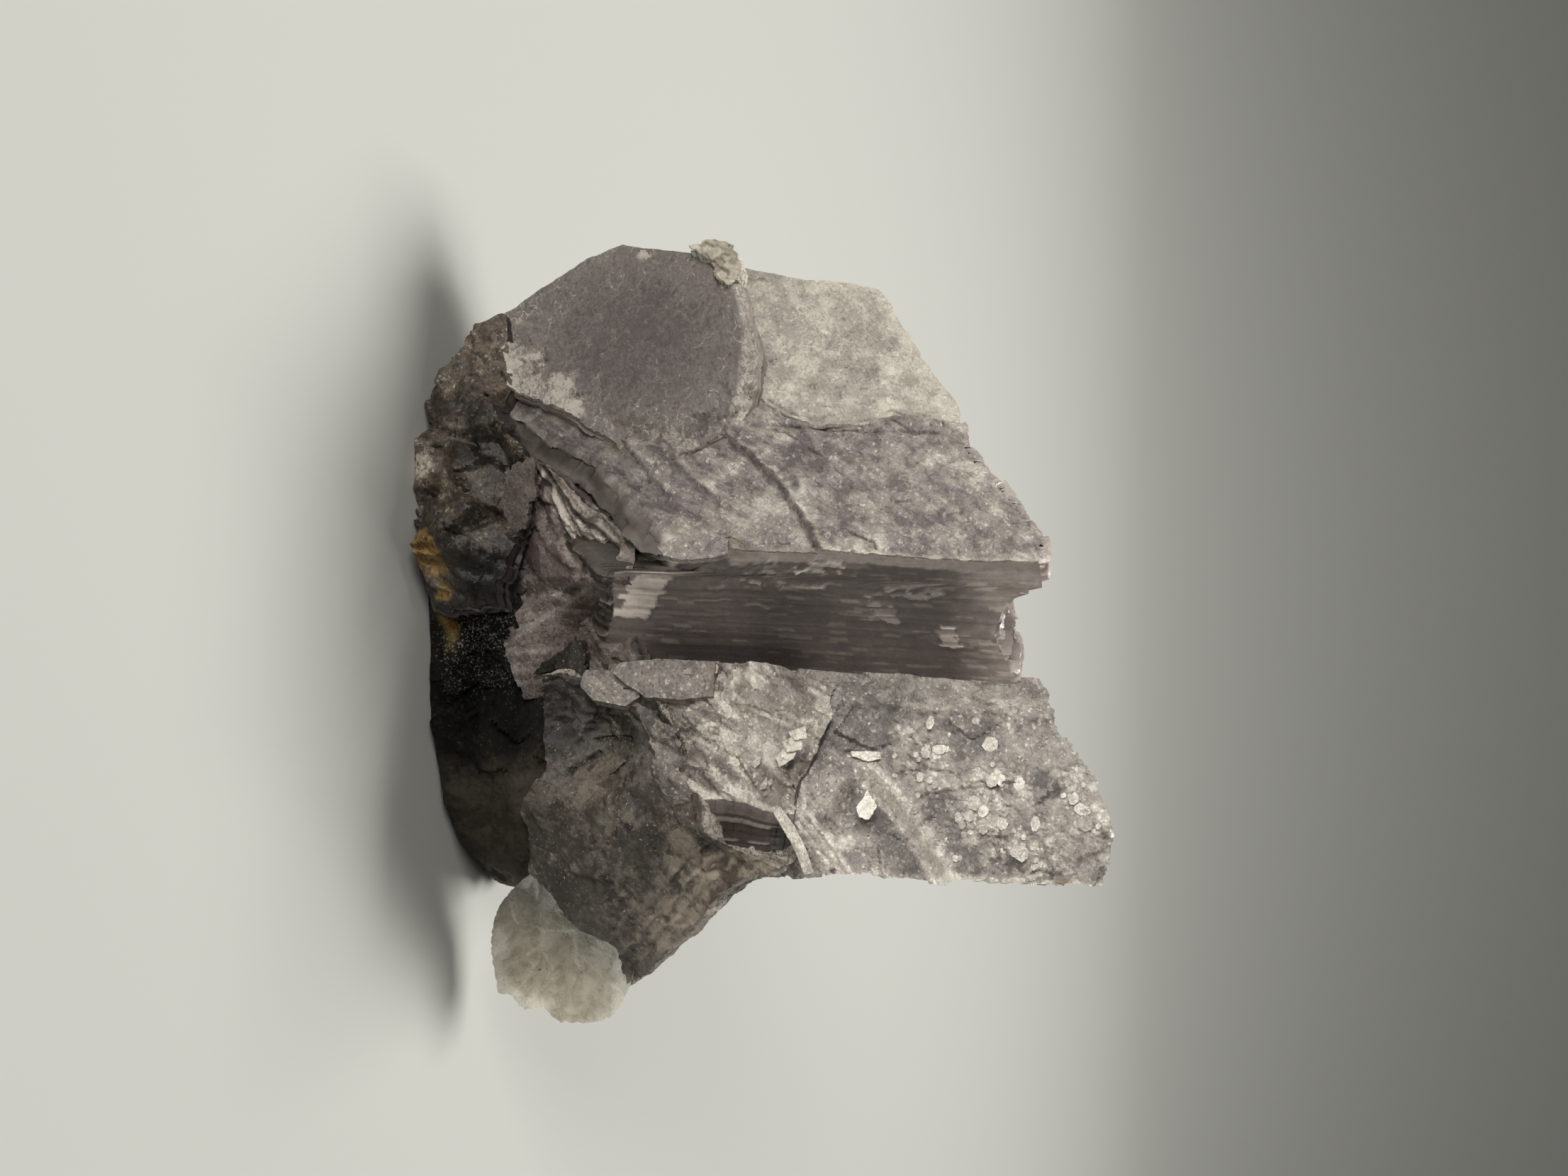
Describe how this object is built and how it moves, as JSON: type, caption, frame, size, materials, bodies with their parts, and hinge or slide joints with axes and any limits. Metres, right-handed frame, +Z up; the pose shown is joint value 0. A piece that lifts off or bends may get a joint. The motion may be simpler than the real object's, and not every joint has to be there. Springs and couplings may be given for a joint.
{
  "type": "mica crystal",
  "caption": "Mineral specimen: parallel books of lilac-grey mica leaves with dark striated sides, a dusky hexagonal plate and a pale see-through flake, grown on a smoky quartz foot",
  "frame": {"origin": "the middle of the box round the specimen, on the floor that it stands on", "axes": "X runs to the right along the specimen's longest side, from the dusky hexagonal plate to the pale flake; Y runs away from the side with the book faces; Z is up"},
  "size_m": [0.0708, 0.0388, 0.0607],
  "materials": {
    "dusky_mica": "matte",
    "lilac_mica": "satin",
    "pearly_mica": "satin",
    "scaly_mica": "satin",
    "short_book_mica": "satin",
    "cream_mica": "matte",
    "grey_mica": "matte",
    "clear_mica": "satin",
    "folded_mica": "satin",
    "stained_mica": "satin",
    "smoky_quartz": "satin"
  },
  "bodies": {
    "root": {"hexagonal_plate": "dusky_mica", "centre_book": "lilac_mica", "left_book": "pearly_mica", "right_book": "scaly_mica", "short_book": "short_book_mica", "left_knob": "cream_mica", "grey_wing": "grey_mica", "pale_flake": "clear_mica", "folded_plates": "folded_mica", "basal_plates": "stained_mica", "quartz_foot": "smoky_quartz"}
  },
  "joints": []
}
